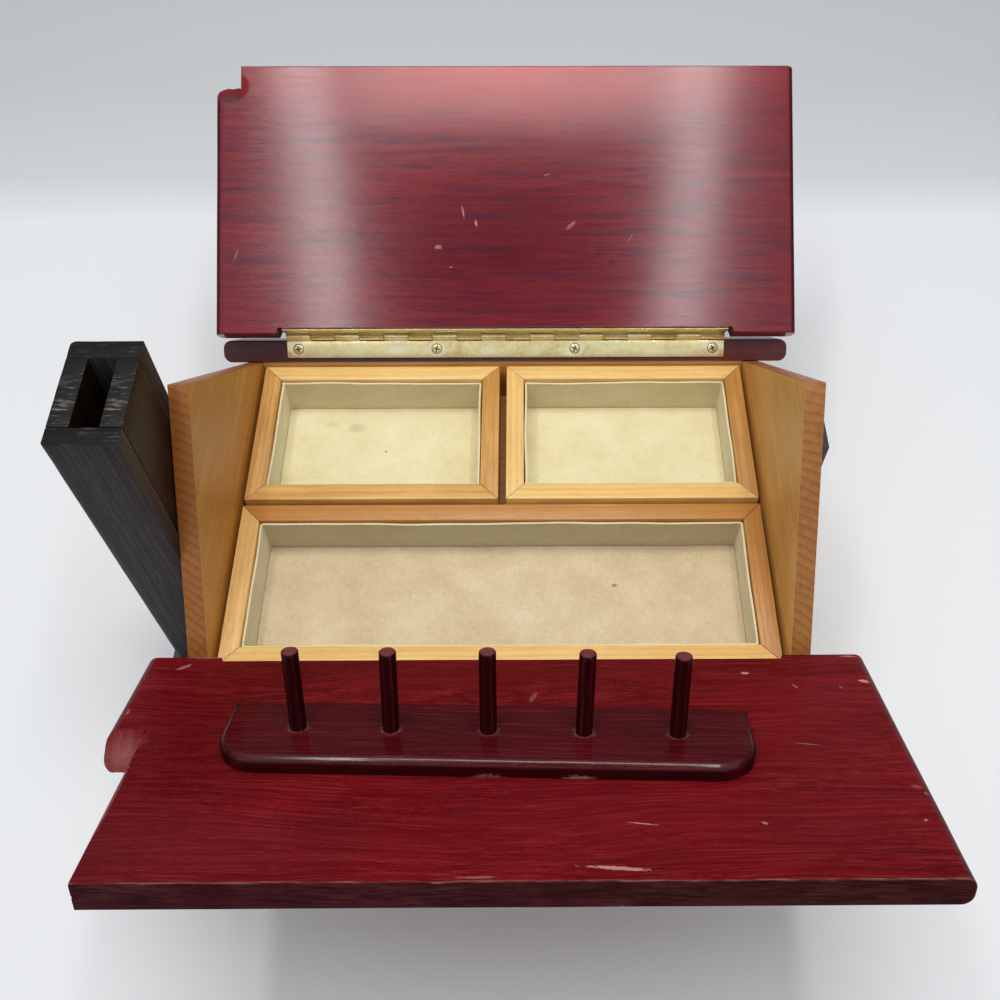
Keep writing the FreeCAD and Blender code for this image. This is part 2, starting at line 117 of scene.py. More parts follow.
def editOn(piece, kind, wanted):
    # opens edit mode with the wanted points, edges or faces selected
    pick(piece)
    bpy.ops.object.mode_set(mode="EDIT")
    bpy.ops.mesh.select_mode(type=kind)
    bpy.ops.mesh.select_all(action="DESELECT")
    editOff()
    mesh = piece.data
    if kind == "VERT":
        for point in mesh.vertices:
            point.select = wanted(point.co)
    elif kind == "EDGE":
        for edge in mesh.edges:
            edge.select = wanted(*(mesh.vertices[i].co for i in edge.vertices))
    else:
        for face in mesh.polygons:
            face.select = wanted(face.center, face.normal)
    bpy.ops.object.mode_set(mode="EDIT")


def bevelEdges(piece, wanted, width, segments):
    editOn(piece, "EDGE", wanted)
    bpy.ops.mesh.bevel(offset=width, segments=segments, profile=0.5, affect="EDGES")
    editOff()


def moveVerts(piece, wanted, move=(0, 0, 0), grow=(1, 1, 1), middle=(0, 0, 0)):
    editOn(piece, "VERT", wanted)
    bpy.ops.transform.translate(value=move)
    bpy.ops.transform.resize(value=grow, center_override=middle)
    editOff()


def sliceUp(piece, axis, low, high, gap):
    # cuts all round the piece at even places along one axis, about this gap apart
    count = max(2, round((high - low) / gap))
    editOn(piece, "VERT", lambda co: True)
    for number in range(1, count):
        spot, way = [0, 0, 0], [0, 0, 0]
        spot[axis], way[axis] = low + (high - low) * number / count, 1
        bpy.ops.mesh.select_all(action="SELECT")
        bpy.ops.mesh.bisect(plane_co=spot, plane_no=way)
    editOff()


def sliceBox(piece, low, high, gaps, margin=2):
    for axis, gap in gaps.items():
        sliceUp(piece, axis, low[axis] + margin, high[axis] - margin, gap)


def cutOff(piece, spot, way):
    # takes away what lies beyond a plane and closes the cut
    editOn(piece, "FACE", lambda centre, normal: True)
    bpy.ops.mesh.bisect(plane_co=spot, plane_no=way, use_fill=True, clear_outer=True)
    editOff()


def useModifier(piece, kind, **settings):
    pick(piece)
    modifier = piece.modifiers.new(kind.title(), kind)
    for key, value in settings.items():
        setattr(modifier, key, value)
    bpy.ops.object.modifier_apply(modifier=modifier.name)


def ease(piece, width, segments=2, angle=40):
    useModifier(piece, "BEVEL", width=width, segments=segments, limit_method="ANGLE",
                angle_limit=math.radians(angle))


def weather(piece, depth, size, middle=1.0):
    # uneven by up to this depth, all of it inwards unless another middle is given
    texture = bpy.data.textures.new(piece.name + "Wear", "CLOUDS")
    texture.noise_scale = size
    texture.noise_depth = 2
    useModifier(piece, "DISPLACE", texture=texture, strength=depth, mid_level=middle, texture_coords="LOCAL")


def carve(piece, cutter):
    useModifier(piece, "BOOLEAN", object=cutter, operation="DIFFERENCE", solver="EXACT")
    if not piece.data.polygons:
        raise RuntimeError(f"nothing is left of {piece.name}")
    bpy.data.objects.remove(cutter)


def named(name):
    # names the active object and bakes its place and size into its mesh
    piece = bpy.context.object
    piece.name = piece.data.name = name
    bpy.ops.object.transform_apply()
    return piece


def addBlock(name, low, high):
    clearSelection()
    low, high = Vector(low), Vector(high)
    bpy.ops.mesh.primitive_cube_add(size=1, location=(low + high) / 2, scale=high - low)
    return named(name)


def boxOf(node):
    return [[v / mm for v in corner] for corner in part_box(node)]


def turnedPiece(name, rings, sides):
    # extruded ring by ring from a disc, along z
    clearSelection()
    radius, height = rings[0]
    bpy.ops.mesh.primitive_circle_add(vertices=sides, radius=radius, fill_type="NGON",
                                      location=(0, 0, height))
    piece = named(name)
    bpy.ops.object.mode_set(mode="EDIT")
    bpy.ops.mesh.select_all(action="SELECT")
    for nextRadius, nextHeight in rings[1:]:
        bpy.ops.mesh.extrude_region_move(TRANSFORM_OT_translate={"value": (0, 0, nextHeight - height)})
        grow = nextRadius / radius
        bpy.ops.transform.resize(value=(grow, grow, 1), center_override=(0, 0, nextHeight))
        radius, height = nextRadius, nextHeight
    bpy.ops.mesh.select_all(action="SELECT")
    bpy.ops.mesh.normals_make_consistent(inside=False)
    editOff()
    return piece


def addToScene(name, data):
    item = bpy.data.objects.new(name, data)
    bpy.context.scene.collection.objects.link(item)
    return item


def joinAll(name, pieces):
    pick(*pieces)
    bpy.ops.object.join()
    return named(name)


def markGrain(piece, order="xyz", shift=(0, 0, 0), tint=0.0):
    # the board's own millimetres with the grain first, and its tone, for the materials to read
    axes = ["xyz".index(letter) for letter in order]
    attributes = piece.data.attributes
    attributes.new("board", "FLOAT_VECTOR", "POINT")
    for point, mark in zip(piece.data.vertices, attributes["board"].data):
        mark.vector = [point.co[axis] + move for axis, move in zip(axes, shift)]
    attributes.new("tint", "FLOAT", "POINT")
    for mark in attributes["tint"].data:
        mark.value = tint


def settle(piece, place, material, node):
    # shrinks the piece into its place, and gives it the finish and body of the node it stands for
    pick(piece)
    piece.matrix_world = place @ piece.matrix_world
    bpy.ops.object.transform_apply()
    bpy.ops.object.shade_smooth_by_angle(angle=math.radians(smoothTo))
    piece.data.materials.append(material)
    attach(piece, nodes[node]["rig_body"])
    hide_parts(node)


# building materials: each helper adds to the node tree that is being built
building = {"tree": None}


def tone(red, green, blue):
    # a colour as picked on a screen, made linear
    def linear(value):
        value = value / 255
        return value / 12.92 if value <= 0.04045 else ((value + 0.055) / 1.055) ** 2.4
    return (linear(red), linear(green), linear(blue), 1)


def plug(node, values):
    # gives each socket another node's output or a plain value
    for key, value in values.items():
        if isinstance(value, bpy.types.NodeSocket):
            building["tree"].links.new(value, node.inputs[key])
        else:
            node.inputs[key].default_value = value


def newMaterial(name, values):
    material = bpy.data.materials.new(name)
    material.use_nodes = True
    building["tree"] = material.node_tree
    shader = material.node_tree.nodes["Principled BSDF"]
    plug(shader, values)
    return material, shader


def addNode(kind, values, **settings):
    node = building["tree"].nodes.new("ShaderNode" + kind)
    for key, value in settings.items():
        setattr(node, key, value)
    plug(node, values)
    return node


def coordinate(kind):
    return addNode("TexCoord", {}).outputs[kind]


def boardMark(name, output):
    return addNode("Attribute", {}, attribute_name=name).outputs[output]


def vectorCalc(operation, first, second=(0, 0, 0), third=(0, 0, 0)):
    node = addNode("VectorMath", {0: first, 1: second, 2: third}, operation=operation)
    return node.outputs["Value" if operation in ("LENGTH", "DISTANCE", "DOT_PRODUCT") else "Vector"]


def noise(point, scale, detail, roughness=0.55, distortion=0, output="Fac"):
    return addNode("TexNoise", {"Vector": point, "Scale": scale, "Detail": detail, "Roughness": roughness,
                                "Distortion": distortion}).outputs[output]


def streaky(point, amounts, detail=4, roughness=0.55, shift=(0, 0, 0), output="Fac"):
    # noise drawn out by its own amount along each axis
    return noise(vectorCalc("MULTIPLY_ADD", point, amounts, shift), 1, detail, roughness, output=output)


def calc(operation, first, second=0.5, third=0.5):
    return addNode("Math", {0: first, 1: second, 2: third}, operation=operation).outputs[0]


def times(first, second):
    return calc("MULTIPLY", first, second)


def between(value, low, high, outLow=0, outHigh=1):
    return addNode("MapRange", {"Value": value, "From Min": low, "From Max": high, "To Min": outLow,
                                "To Max": outHigh}).outputs["Result"]


def partsOf(vector):
    split = addNode("SeparateXYZ", {"Vector": vector})
    return split.outputs["X"], split.outputs["Y"], split.outputs["Z"]


def ramp(value, *stops):
    node = addNode("ValToRGB", {"Fac": value})
    while len(node.color_ramp.elements) < len(stops):
        node.color_ramp.elements.new(0.5)
    for element, (place, colour) in zip(node.color_ramp.elements, stops):
        element.position = place
        element.color = colour
    return node.outputs["Color"]


def layered(colour, *layers, blend="MIX"):
    # lays one shade over another, each as thick as its amount
    for amount, shade in layers:
        node = addNode("Mix", {0: amount, 6: colour, 7: shade}, data_type="RGBA", blend_type=blend)
        colour = node.outputs[2]
    return colour


def addUp(*parts):
    # a weighted sum of (value, weight) pairs
    total = 0.0
    for value, weight in parts:
        total = calc("MULTIPLY_ADD", value, weight, total)
    return total


def bumpOn(shader, depth, *parts):
    bump = addNode("Bump", {"Height": addUp(*parts), "Distance": depth, "Strength": 1.0})
    plug(shader, {"Normal": bump.outputs["Normal"]})


def woodFigure(point, pith, ring, sway):
    # growth rings about a line along the grain, with long streaks, fine fibres and short pores
    bend = streaky(point, (0.007, 0.022, 0.022), 2, output="Color")
    swayed = vectorCalc("MULTIPLY_ADD", bend, (0, sway * 2, sway * 2), (0, -sway - pith[0], -sway - pith[1]))
    moved = vectorCalc("ADD", point, swayed)
    reach = vectorCalc("LENGTH", vectorCalc("MULTIPLY", moved, (0, 1, 1)))
    black, grey, white = ((shade, shade, shade, 1) for shade in (0, 0.35, 1))
    turnOver = calc("FRACT", times(reach, 1 / ring))
    return {"rings": ramp(turnOver, (0, black), (0.55, grey), (0.86, white), (1, black)),
            "streaks": streaky(moved, (0.009, 0.42, 0.42)),
            "fibres": streaky(moved, (0.05, 2.8, 2.8), 3),
            "lines": streaky(moved, (0.016, 1.1, 1.1), 5, 0.7),
            "pores": between(streaky(moved, (0.16, 4.5, 4.5), 2), 0.60, 0.70),
            "cloud": streaky(point, (0.02, 0.03, 0.03), 3)}


marking = {"faceReach": 3, "fullReach": 400, "ragged": 1.6, "rim": (1.75, 1.35)}


def spotAt(point, x, y, long, wide, turn=0, face=None):
    # 0 in the middle of an oval, 1 at its rim; it goes through the board unless one face is given
    size = (long / 2, wide / 2, marking["faceReach"] if face else marking["fullReach"])
    oval = addNode("Mapping", {"Vector": point, "Location": (x, y, face or 0), "Scale": size,
                               "Rotation": (0, 0, math.radians(turn))}, vector_type="TEXTURE")
    return vectorCalc("LENGTH", oval.outputs["Vector"])


def scuffs(point, marks, face=None):
    # each mark: x, y, length, width, turn, strength and maybe the height of its face; ragged at its rim
    ragged = streaky(point, (0.5, 1.3, 1.3), 4, 0.7)
    total = 0.0
    for x, y, long, wide, turn, strength, *height in marks:
        reach = spotAt(point, x, y, long, wide, turn, height[0] if height else face)
        reach = calc("MULTIPLY_ADD", ragged, marking["ragged"], reach)
        total = calc("MAXIMUM", between(reach, *marking["rim"], 0, strength), total)
    return total


# camera and stage

camera = {"at": (0.01134, -0.28875, 0.53340), "pitch": 57.52, "yaw": 0.62, "roll": 0.29, "lens": 37.81,
          "shift": (-0.0307, 0.0213), "nearest": 0.01}


def makeCamera():
    data = bpy.data.cameras.new("camera")
    data.lens = camera["lens"]
    data.shift_x, data.shift_y = camera["shift"]
    data.clip_start = camera["nearest"]
    eye = addToScene("camera", data)
    aim = turned(-camera["yaw"], "Z") @ turned(90 - camera["pitch"], "X") @ turned(camera["roll"], "Z")
    eye.matrix_world = Matrix.Translation(camera["at"]) @ aim
    bpy.context.scene.camera = eye


lamps = {
    "left": {"at": (-0.32, -0.08, 1.30), "size": (0.08, 0.66), "power": 2.9},
    "right": {"at": (0.28, -0.08, 1.30), "size": (0.08, 0.66), "power": 2.7},
    "back": {"at": (0.00, 0.16, 1.32), "size": (0.50, 0.30), "power": 4.2},
}
table = {"size": 6, "rough": 0.5, "edge": 0.325, "fade": 0.16, "waves": 7, "waver": 0.02,
         "shades": [(0, tone(238, 240, 241)), (0.10, tone(230, 232, 233)), (0.3, tone(216, 218, 219)),
                    (1, tone(207, 209, 210))]}
# the room is darker low down, most of all at the back, and behind whoever looks into the box
room = {"colour": tone(246, 248, 252), "top": 0.80, "low": 0.03, "rise": 0.34, "depths": (-0.4, 0.2),
        "dimBelow": (0.20, 0.46), "person": (0.0, -0.33, 0.90), "narrow": (1.7, 1, 1), "sizes": (0.16, 0.44),
        "behind": 0.10, "backdrop": 0.85, "mirrored": 0.15}


def makeTable():
    clearSelection()
    bpy.ops.mesh.primitive_plane_add(size=table["size"])
    floor = bpy.context.object
    floor.name = "floor"
    material, shader = newMaterial("paleTable", {"Roughness": table["rough"]})
    point = coordinate("Object")
    depth = calc("MULTIPLY_ADD", noise(point, table["waves"], 3), table["waver"], partsOf(point)[1])
    blend = between(depth, table["edge"], table["edge"] + table["fade"])
    plug(shader, {"Base Color": ramp(blend, *table["shades"])})
    floor.data.materials.append(material)


def makeRoom():
    world = bpy.data.worlds.new("world")
    world.use_nodes = True
    bpy.context.scene.world = world
    building["tree"] = world.node_tree
    way = coordinate("Generated")
    depth, height = partsOf(way)[1:]
    height = calc("SUBTRACT", height, between(depth, *room["depths"], *room["dimBelow"]))
    glow = between(height, 0, room["rise"], room["low"], room["top"])
    reach = vectorCalc("DISTANCE", vectorCalc("MULTIPLY", way, room["narrow"]), room["person"])
    glow = times(glow, between(reach, *room["sizes"], room["behind"], 1.0))
    # varnish and brass mirror a little of the pale backdrop, and mostly the dim room
    path = addNode("LightPath", {}).outputs
    seen = addUp((path["Is Camera Ray"], 1), (path["Is Transmission Ray"], 1),
                 (path["Is Glossy Ray"], room["mirrored"]))
    strength = addNode("Mix", {0: seen, 2: glow, 3: room["backdrop"]}, data_type="FLOAT").outputs[0]
    plug(world.node_tree.nodes["Background"], {"Color": room["colour"], "Strength": strength})


def makeLamps():
    for name, lamp in lamps.items():
        data = bpy.data.lights.new(name, "AREA")
        data.shape = "RECTANGLE"
        data.size, data.size_y = lamp["size"]
        data.energy = lamp["power"]
        addToScene(name + "Lamp", data).location = lamp["at"]


makeCamera()
makeTable()
makeRoom()
makeLamps()
bpy.context.scene.view_settings.view_transform = "Standard"
print("camera and stage ready")

# finishes

# edge, blotch and cut are also the painted shade on free edges, board ends and faces turned to the front;
# edge also darkens the rack's and pegs' stain
redStain = {"deep": tone(76, 3, 10), "mid": tone(96, 6, 13), "light": tone(120, 16, 24),
            "line": tone(150, 54, 57), "bare": tone(206, 150, 142), "edge": tone(34, 7, 12),
            "blotch": tone(60, 22, 28), "worn": tone(158, 108, 96), "cut": tone(26, 3, 5)}


def makeRedStain(name, look, marks=(), shades=()):
    material, shader = newMaterial(name, {"Coat Roughness": 0.10})
    point = boardMark("board", "Vector")
    figure = woodFigure(point, look["pith"], look.get("ring", 3.4), look.get("sway", 7))
    value = addUp((figure["streaks"], 0.42), (figure["fibres"], 0.16), (figure["rings"], 0.08),
                  (figure["lines"], 0.16), (figure["cloud"], 0.34))
    colour = ramp(value, (0.40, redStain["deep"]), (0.52, redStain["mid"]), (0.66, redStain["light"]))
    if "dark" in look:
        colour = layered(colour, (look["dark"], redStain["edge"]))
    if "cast" in look:
        colour = layered(colour, (0.45, look["cast"]))
    grit = noise(point, 2.6, 2, 0.6)
    colour = layered(colour,
                     (between(figure["lines"], 0.51, 0.64, 0, look.get("lines", 0.5)), redStain["line"]),
                     (times(figure["pores"], 0.35), redStain["deep"]),
                     (between(grit, 0.58, 0.75, 0, look.get("grit", 0.35)), redStain["line"]),
                     (between(grit, 0.45, 0.28, 0, 0.5), redStain["deep"]))
    if "smudge" in look:
        smudges = streaky(point, (0.018, 0.22, 0.22), 5, 0.68, (7, 3, 0))
        colour = layered(colour, (between(smudges, 0.50, 0.64, 0, 0.6), look["smudge"]))
    # oval patches of other tones; some are painted shade or painted highlight, as said where each panel's
    # list is given
    for x, y, long, wide, shade, strength in shades:
        reach = calc("MULTIPLY_ADD", figure["cloud"], 0.5, spotAt(point, x, y, long, wide))
        colour = layered(colour, (between(reach, 1.25, 0.35, 0, strength), shade))

    # faces turned toward the look's front and the board ends, which get painted shade below as they turn
    # from the light
    normal = coordinate("Normal")
    shadedFront = between(vectorCalc("DOT_PRODUCT", normal, look.get("front", (0, -0.857, 0.515))), 0.84, 0.985)
    shadedEnds = between(calc("ABSOLUTE", partsOf(normal)[0]), 0.25, 0.7)
    cut = calc("MAXIMUM", shadedFront, shadedEnds)
    if "end" in look:
        # the free edge and the rounded ends are painted darker and blotchy, as painted shade where they turn
        # from the light, and their arris is rubbed
        y, end = partsOf(point)[1], look["end"]
        blotches = between(streaky(point, (0.05, 0.2, 0.2), 4, 0.6), 0.45, 0.62)
        blotchyShade = layered(redStain["edge"], (blotches, redStain["blotch"]))
        shadedEdge = calc("MAXIMUM", between(y, end - 0.75, end - 0.25), shadedEnds)
        rub = times(between(y, end - 1.2, end - 0.6), between(y, end - 0.05, end - 0.5))
        rub = times(rub, between(streaky(point, (0.09, 1, 1)), 0.46, 0.62))
        colour = layered(colour, (times(shadedEdge, 0.85), blotchyShade), (times(rub, 0.5), redStain["worn"]))
    else:
        # painted shade on faces turned to the front and on the board ends
        colour = layered(colour, (times(cut, 0.7), redStain["cut"]))
    if "top" in look:
        upper = vectorCalc("DOT_PRODUCT", normal, (0, 0.515, 0.857))
        colour = layered(colour, (between(upper, 0.90, 0.98, 0, 0.85), look["top"]))
    if "hairlines" in look:
        # very fine scratches that cross the grain, painted pale only where the lid's left sheen falls, as
        # painted glints of that sheen
        *where, turn = look["hairlines"]
        crossed = addNode("Mapping", {"Vector": point, "Rotation": (0, 0, math.radians(turn))})
        hairs = between(streaky(crossed.outputs["Vector"], (0.10, 4.5, 1), 3, 0.6), 0.56, 0.68)
        hairs = times(hairs, between(spotAt(point, *where), 1.0, 0.2, 0, 0.22))
        colour = layered(colour, (hairs, redStain["bare"]))
    if marks:
        colour = layered(colour, (scuffs(point, marks, look.get("face")), redStain["bare"]))
    # cut edges have soaked up their varnish and hardly shine
    shine = between(cut, 0, 1, look.get("shine", 0.5), 0.04)
    shine = times(shine, addUp((grit, 1.2), (figure["fibres"], 0.9), (1.0, -0.05)))
    if "dull" in look:
        shine = times(shine, between(spotAt(point, *look["dull"]), 0.95, 1.1, 0.08, 1))
    if "coat" in look:
        plug(shader, {"Coat Weight": times(shine, look["coat"] * 2)})
    rough = addUp((figure["streaks"], 0.08), (figure["fibres"], 0.06), (1.0, look.get("rough", 0.34) - 0.07))
    plug(shader, {"Base Color": colour, "Roughness": rough, "Specular IOR Level": shine})
    bumpOn(shader, look.get("bump", 0.00010), (figure["fibres"], 0.5), (figure["streaks"], 0.5),
           (figure["pores"], -0.6))
    return material


honey = {"pale": tone(247, 208, 130), "mid": tone(230, 182, 104), "dark": tone(188, 128, 54),
         "line": tone(150, 96, 48)}


def makeHoneyPine(name, cutAndShadowTone=None, soaked=0.6):
    material, shader = newMaterial(name, {})
    point = boardMark("board", "Vector")
    figure = woodFigure(point, (0, 0), 2.9, 3.5)
    value = addUp((figure["streaks"], 0.45), (figure["fibres"], 0.22), (figure["cloud"], 0.33),
                  (boardMark("tint", "Fac"), -1.0))
    colour = ramp(value, (0.22, honey["dark"]), (0.50, honey["mid"]), (0.74, honey["pale"]))
    ringed = 0.16
    if cutAndShadowTone:
        # what faces upward is cut across the grain, where the stain soaked in and the rings show dark; on
        # the back wall this darkening is a painted shadow instead
        cut = between(calc("ABSOLUTE", partsOf(coordinate("Normal"))[2]), 0.3, 0.6)
        colour = layered(colour, (times(cut, soaked), cutAndShadowTone))
        ringed = between(cut, 0, 1, 0.08, 0.42)
    colour = layered(colour, (times(figure["rings"], ringed), honey["line"]), blend="MULTIPLY")
    colour = layered(colour, (times(figure["pores"], 0.30), honey["line"]))
    plug(shader, {"Base Color": colour, "Roughness": addUp((figure["fibres"], 0.16), (1.0, 0.34))})
    bumpOn(shader, 0.00008, (figure["fibres"], 0.6), (figure["pores"], -0.5))
    return material


def makeDarkWood(name, shades, rough=0.5, depth=0.0002, endShade=None, worn=0.0, shine=0.5):
    material, shader = newMaterial(name, {"Roughness": rough, "Specular IOR Level": shine})
    point = boardMark("board", "Vector")
    figure = woodFigure(point, (0, 0), 2.4, 3)
    value = addUp((figure["streaks"], 0.50), (figure["fibres"], 0.45), (figure["rings"], 0.12))
    colour = ramp(value, *zip((0.34, 0.52, 0.72), shades))
    if endShade:
        # end grain drank more stain, and is rubbed along its harder rings
        cut = between(partsOf(coordinate("Normal"))[2], 0.45, 0.8)
        hard = between(streaky(point, (0.1, 0.10, 0.75), 5, 0.65), 0.54, 0.66)
        dirt = between(streaky(point, (0.2, 0.2, 0.2), 4, 0.6), 0.40, 0.60, 0.25, 1.0)
        rub = times(times(times(hard, dirt), cut), worn)
        colour = layered(colour, (cut, endShade), (rub, tone(150, 140, 128)))
    plug(shader, {"Base Color": colour})
    bumpOn(shader, depth, (figure["fibres"], 0.8), (figure["pores"], -0.6))
    return material


brassShades = (tone(220, 196, 134), tone(250, 237, 178), tone(255, 250, 216))


def makeBrass(name, part=None):
    material, shader = newMaterial(name, {"Metallic": 0.86})
    point = coordinate("Object")
    tarnish = noise(point, 60, 5, 0.65)
    spots = noise(point, 420, 3, 0.6)
    colour = ramp(addUp((tarnish, 0.7), (spots, 0.3)), *zip((0.34, 0.50, 0.66), brassShades))
    x, y, z = partsOf(boardMark("board", "Vector"))
    if part == "leaf":
        # grime round each screw head and along the knuckles
        half = screw["gap"] / 2
        along = calc("FLOORED_MODULO", calc("ADD", x, half - screw["at"][0]), screw["gap"])
        along = calc("SUBTRACT", along, half)
        away = calc("ABSOLUTE", z)
        drop = calc("SUBTRACT", away, screw["drop"])
        reach = calc("SQRT", addUp((times(along, along), 1.0), (times(drop, drop), 1.0)))
        ring = times(between(reach, 2.45, 2.6), between(reach, 3.05, 2.8))
        rubbed = between(calc("MULTIPLY_ADD", tarnish, 5, reach), 7.6, 5.4, 0, 0.8)
        groove = times(between(away, 1.7, 2.4, 1, 0), between(calc("ABSOLUTE", y), 1.2, 0.5))
        colour = layered(colour, (rubbed, tone(255, 252, 226)), (times(groove, 0.7), tone(110, 84, 44)),
                         (times(ring, 0.85), tone(74, 52, 24)))
    if part == "screw":
        colour = layered(colour, (between(z, 0.06, -0.05, 0, 0.9), tone(40, 28, 14)))
    plug(shader, {"Base Color": colour, "Roughness": between(tarnish, 0.35, 0.65, 0.40, 0.22)})
    bumpOn(shader, 0.00004, (spots, 0.6), (tarnish, 0.4))
    return material


cloth = {"soil": tone(128, 112, 84), "backWallShade": tone(120, 104, 66)}


def makeCloth(name, shades, stain, marks=(), shaded=0.0):
    material, shader = newMaterial(name, {"Roughness": 0.95, "Sheen Weight": 0.35, "Sheen Roughness": 0.6})
    point = boardMark("board", "Vector")
    fuzz = noise(point, 2.6, 3, 0.7)
    lint = noise(vectorCalc("ADD", point, (30, 0, 0)), 0.55, 4, 0.65, 1.5)
    patches = noise(point, 0.045, 4, 0.6)
    value = addUp((fuzz, 0.30), (lint, 0.35), (patches, 0.45))
    colour = ramp(value, *zip((0.36, 0.54, 0.70), shades))
    colour = layered(colour, (between(noise(point, 0.9, 2, 0.5), 0.69, 0.75, 0, 0.55), stain))
    if marks:
        # the marks are given in millimetres on the whole box
        own = vectorCalc("MULTIPLY", coordinate("Object"), (1 / mm, 1 / mm, 1 / mm))
        colour = layered(colour, (scuffs(own, marks), cloth["soil"]))
    if shaded:
        # the back walls' inner faces, turned to the front, get a darker, yellower painted shade
        toFront = partsOf(coordinate("Normal"))[1]
        colour = layered(colour, (between(toFront, -0.5, -0.9, 0, shaded), cloth["backWallShade"]))
    plug(shader, {"Base Color": colour})
    bumpOn(shader, 0.0006, (fuzz, 0.7), (lint, 0.5))
    return material


# dried glue on the rack: a ring at the foot of each peg, and two smears low on its front
rackGlue = [(828.2, -1.5, 9.6, 8.8, 0, 0.16), (863.6, -1.5, 9.4, 9.0, 0, 0.20),
            (900.6, -1.5, 9.8, 8.6, 0, 0.14), (936.7, -1.5, 9.6, 8.8, 0, 0.20),
            (972.0, -1.5, 9.4, 8.8, 0, 0.16), (901.5, 17.1, 17, 2.4, 0, 0.24, 31.2),
            (934.7, 17.1, 15, 2.6, 0, 0.36, 30.9)]
rackLook = {"pith": (-40, -30), "rough": 0.19, "dark": 0.69, "lines": 0.2, "shine": 0.14, "coat": 1.1,
            "bump": 0.00003}
creamMarks = [(-80.9, 66.6, 12, 8, 0, 0.24), (-94.9, 69.6, 9, 6, 0, 0.12), (-63.9, 50.8, 2.2, 1.8, 0, 0.6)]
finishes = {
    "red_stain": makeRedStain("redStain", {"pith": (-60, -70), "dark": 0.45, "lines": 0.2}),
    "dark_red_gloss": makeRedStain("darkRedGloss", rackLook, rackGlue),
    "honey_pine": makeHoneyPine("honeyPine"),
    "charcoal_stain": makeDarkWood("charcoalStain", (tone(38, 34, 36), tone(60, 54, 56), tone(88, 80, 82)),
                                   endShade=tone(24, 23, 24), worn=0.2, shine=0.15),
    "grey_paint": makeDarkWood("greyPaint", (tone(52, 52, 56), tone(72, 72, 78), tone(92, 92, 96)), 0.55,
                               0.0001),
    "dark_stain": makeDarkWood("darkStain", (tone(36, 26, 26), tone(60, 46, 46), tone(90, 74, 76)), 0.45),
    "aged_brass": makeBrass("agedBrass"),
    "cream_felt": makeCloth("creamFelt", (tone(224, 210, 158), tone(242, 230, 180), tone(250, 242, 202)),
                            tone(180, 162, 124), creamMarks),
    "grey_felt": makeCloth("greyFelt", (tone(198, 176, 138), tone(222, 200, 160), tone(238, 220, 184)),
                           tone(140, 118, 90), [(56.1, -33.0, 3.4, 2.6, 0, 0.8)]),
}
print("finishes ready")

# roof panels

frontPanel = {"name": "frontRoofPanel", "node": "roof_panel_front", "side": -1, "left": -154.5,
              "right": 155.5, "long": 130.5, "notchAt": 48.75, "notchTo": -139.0,
              "chips": [(-20, 129.2, -13.8, 3.0), (-7, 129.3, -13.8, 2.2), (84, 129.3, -13.8, 1.6),
                        (-118, 129.2, -13.8, 1.8), (40, 129.2, -1.95, 2.4), (-139.0, 129.2, -8, 1.6),
                        (-131, -1.3, -13.8, 2.0), (-124, -1.3, -13.8, 1.6)]}
backPanel = {"name": "backRoofPanel", "node": "roof_panel_back", "side": 1, "left": -154.9, "right": 153.2,
             "long": 143.4, "notchAt": 123.15, "notchTo": -141.2,
             "chips": [(-128, -1.3, 13.8, 2.2), (-149, -1.2, 13.8, 1.8), (121.5, -1.0, 13.8, 1.6),
                       (60, 142, 13.8, 2.4), (-60, 142, 13.8, 2.0)]}
notch = {"spare": 3.0, "past": 1, "corner": 1.5, "cuts": 22, "rough": 0.6, "wavy": 0.35, "ragged": 0.25}
hingeRecess = {"middle": -1.3, "half": 120.0, "floor": 2.05, "flare": 1.02}
chipping = {"wide": (1.2, 2.6), "flat": 0.55, "rough": 0.35, "grain": 0.4}


def makeChip(spot, size, seed):
    clearSelection()
    bpy.ops.mesh.primitive_ico_sphere_add(subdivisions=2, radius=size / 2, location=spot)
    chip = named("chip")
    wide = random.Random(seed).uniform(*chipping["wide"])
    moveVerts(chip, lambda co: True, grow=(wide, chipping["flat"], chipping["flat"]), middle=spot)
    weather(chip, size * chipping["rough"], size * chipping["grain"], 0.5)
    return chip


def roundBoard(board):
    bevelEdges(board, lambda a, b: abs(a.y - b.y) > 1, roof["edgeRound"], 7)
    bevelEdges(board, lambda a, b: abs(a.y - b.y) < 0.01, roof["arris"], 3)


